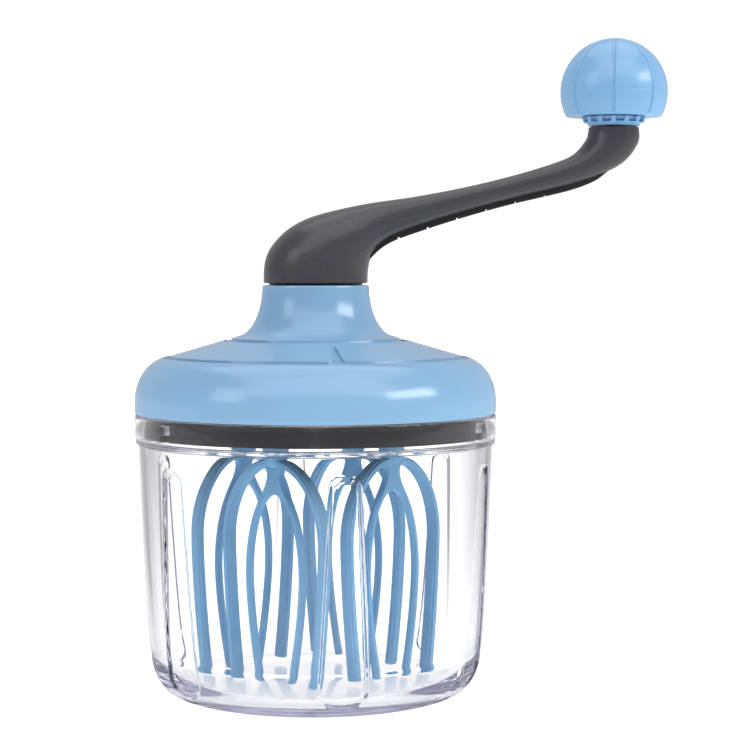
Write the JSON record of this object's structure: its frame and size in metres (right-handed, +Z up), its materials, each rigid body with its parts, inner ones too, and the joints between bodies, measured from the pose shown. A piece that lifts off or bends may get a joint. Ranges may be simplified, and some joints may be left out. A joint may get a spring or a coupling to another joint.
{
  "type": "hand-crank egg beater",
  "caption": "Hand-cranked egg beater: clear bowl, geared domed lid that spins flat whisks, and a side crank arm with a ball knob.",
  "frame": {"origin": "centre of the bowl's flat underside, on the axis that the crank turns about", "axes": "+Z up along the crank's axis, +X from that axis along the crank arm to the knob, +Y away from the front"},
  "size_m": [0.2222, 0.1512, 0.2724],
  "materials": {
    "clear_plastic": "clear, glossy",
    "lid_blue": "satin gloss",
    "knob_blue": "satin gloss",
    "whisk_blue": "satin",
    "dark_plastic": "satin",
    "arm_plastic": "satin gloss",
    "nylon": "matte",
    "steel": "machined",
    "silicone": "matte"
  },
  "bodies": {
    "bowl": {"bowl": "clear_plastic"},
    "seal": {"lid_seal": "silicone"},
    "lid": {"lid_shell": "lid_blue", "base_plate": "dark_plastic", "shaft_bush": "nylon", "base_screw_1": "steel", "base_screw_2": "steel", "base_screw_3": "steel", "base_screw_4": "steel"},
    "crank": {"crank_arm": "arm_plastic", "crank_spine": "arm_plastic", "drive_shaft": "steel", "drive_gear": "nylon", "gear_washer": "steel", "gear_screw": "steel", "knob_pin": "steel", "knob_washer": "steel", "knob_screw": "steel"},
    "knob": {"knob_ball": "knob_blue", "knob_collar": "knob_blue"},
    "whisk_1": {"whisk_1": "whisk_blue", "pinion_1": "nylon"},
    "whisk_2": {"whisk_2": "whisk_blue", "pinion_2": "nylon"},
    "whisk_3": {"whisk_3": "whisk_blue", "pinion_3": "nylon"},
    "whisk_4": {"whisk_4": "whisk_blue", "pinion_4": "nylon"}
  },
  "joints": [
    {"name": "lid_lift", "type": "slide", "parent": "bowl", "child": "seal", "axis": [0, 0, 1], "range_m": [0, 0.125]},
    {"name": "lid_turn", "type": "hinge", "parent": "seal", "child": "lid", "pos_m": [0, 0, 0.1167], "axis": [0, 0, 1], "range_deg": [-15, 0]},
    {"name": "crank_turn", "type": "hinge", "parent": "lid", "child": "crank", "pos_m": [0, 0, 0.1706], "axis": [0, 0, 1], "continuous": true},
    {"name": "knob_spin", "type": "hinge", "parent": "crank", "child": "knob", "pos_m": [0.1243, 0, 0.2356], "axis": [0, 0, 1], "continuous": true},
    {"name": "whisk_1_spin", "type": "hinge", "parent": "lid", "child": "whisk_1", "pos_m": [0.03146, -0.01534, 0.1072], "axis": [0, 0, 1], "continuous": true},
    {"name": "whisk_2_spin", "type": "hinge", "parent": "lid", "child": "whisk_2", "pos_m": [0.01534, 0.03146, 0.1072], "axis": [0, 0, 1], "continuous": true},
    {"name": "whisk_3_spin", "type": "hinge", "parent": "lid", "child": "whisk_3", "pos_m": [-0.03146, 0.01534, 0.1072], "axis": [0, 0, 1], "continuous": true},
    {"name": "whisk_4_spin", "type": "hinge", "parent": "lid", "child": "whisk_4", "pos_m": [-0.01534, -0.03146, 0.1072], "axis": [0, 0, 1], "continuous": true}
  ],
  "couplings": [
    {"joint": "whisk_1_spin", "follows": "crank_turn", "ratio": -2.5},
    {"joint": "whisk_2_spin", "follows": "crank_turn", "ratio": -2.5},
    {"joint": "whisk_3_spin", "follows": "crank_turn", "ratio": -2.5},
    {"joint": "whisk_4_spin", "follows": "crank_turn", "ratio": -2.5}
  ]
}
